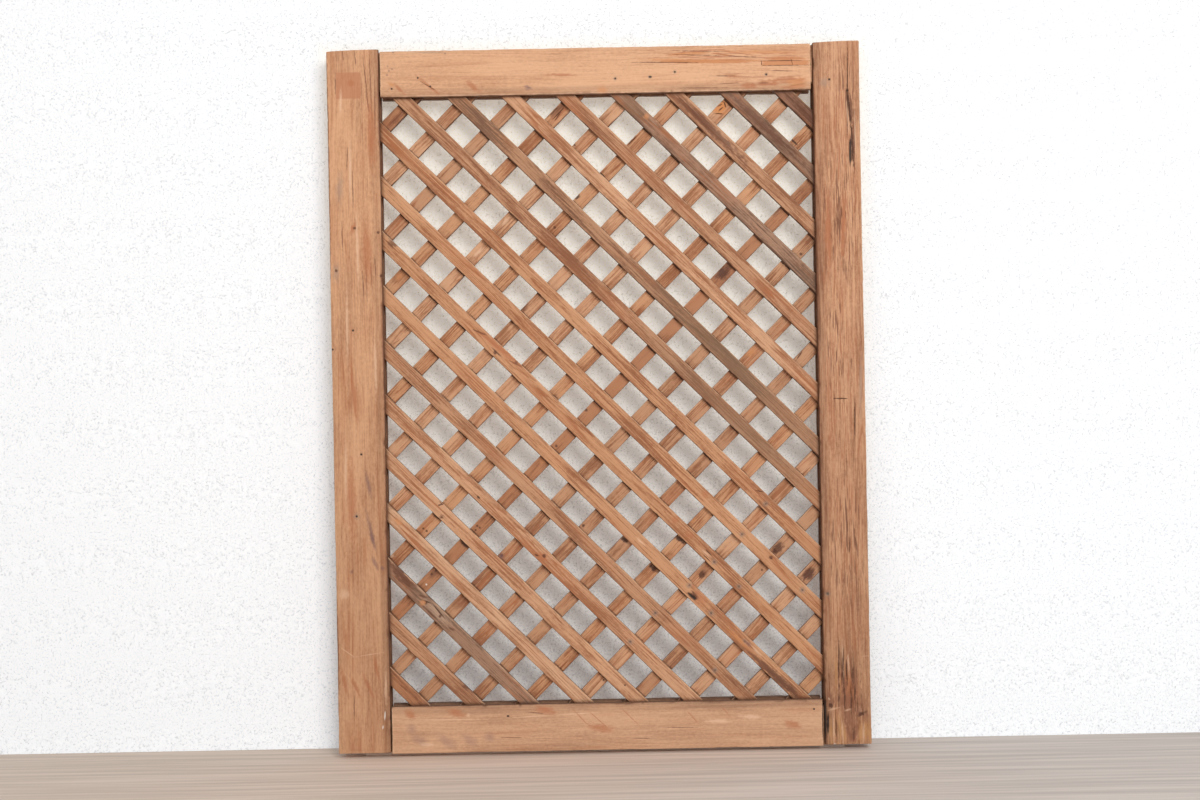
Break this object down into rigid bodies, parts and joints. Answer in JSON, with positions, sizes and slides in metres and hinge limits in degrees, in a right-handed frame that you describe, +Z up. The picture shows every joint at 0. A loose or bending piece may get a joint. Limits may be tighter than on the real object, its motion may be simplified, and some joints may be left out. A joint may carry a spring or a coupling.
{
  "type": "lattice screen",
  "caption": "Upright wooden lattice screen: two layers of crossed diagonal laths let into a grooved frame of stiles and rails with wedged through tenons.",
  "frame": {"origin": "middle of the underside of the bottom rail, halfway through the panel's thickness", "axes": "+Z up along the stiles, -Y out of the front face, +X to the right seen from the front"},
  "size_m": [0.64, 0.032, 0.8468],
  "materials": {
    "frame_wood": "bare old softwood, hand planed and worn, warm light brown with streaks and stains",
    "front_lath_wood": "bare old softwood laths, orange brown, some weathered grey brown",
    "back_lath_wood": "bare old softwood laths, orange brown with dark knots",
    "wedge_wood": "bare end grain of split softwood",
    "brad_iron": "dark rusted iron"
  },
  "bodies": {
    "root": {"back_lath_01": "back_lath_wood", "back_lath_02": "back_lath_wood", "back_lath_03": "back_lath_wood", "back_lath_04": "back_lath_wood", "back_lath_05": "back_lath_wood", "back_lath_06": "back_lath_wood", "back_lath_07": "back_lath_wood", "back_lath_08": "back_lath_wood", "back_lath_09": "back_lath_wood", "back_lath_10": "back_lath_wood", "back_lath_11": "back_lath_wood", "back_lath_12": "back_lath_wood", "back_lath_13": "back_lath_wood", "back_lath_14": "back_lath_wood", "back_lath_15": "back_lath_wood", "back_lath_16": "back_lath_wood", "back_lath_17": "back_lath_wood", "back_lath_18": "back_lath_wood", "back_lath_19": "back_lath_wood", "bottom_rail": "frame_wood", "front_lath_01": "front_lath_wood", "front_lath_02": "front_lath_wood", "front_lath_03": "front_lath_wood", "front_lath_04": "front_lath_wood", "front_lath_05": "front_lath_wood", "front_lath_06": "front_lath_wood", "front_lath_07": "front_lath_wood", "front_lath_08": "front_lath_wood", "front_lath_09": "front_lath_wood", "front_lath_10": "front_lath_wood", "front_lath_11": "front_lath_wood", "front_lath_12": "front_lath_wood", "front_lath_13": "front_lath_wood", "front_lath_14": "front_lath_wood", "front_lath_15": "front_lath_wood", "front_lath_16": "front_lath_wood", "front_lath_17": "front_lath_wood", "front_lath_18": "front_lath_wood", "front_lath_19": "front_lath_wood", "lattice_brads": "brad_iron", "left_stile": "frame_wood", "right_stile": "frame_wood", "tenon_wedges": "wedge_wood", "top_rail": "frame_wood"}
  },
  "joints": []
}
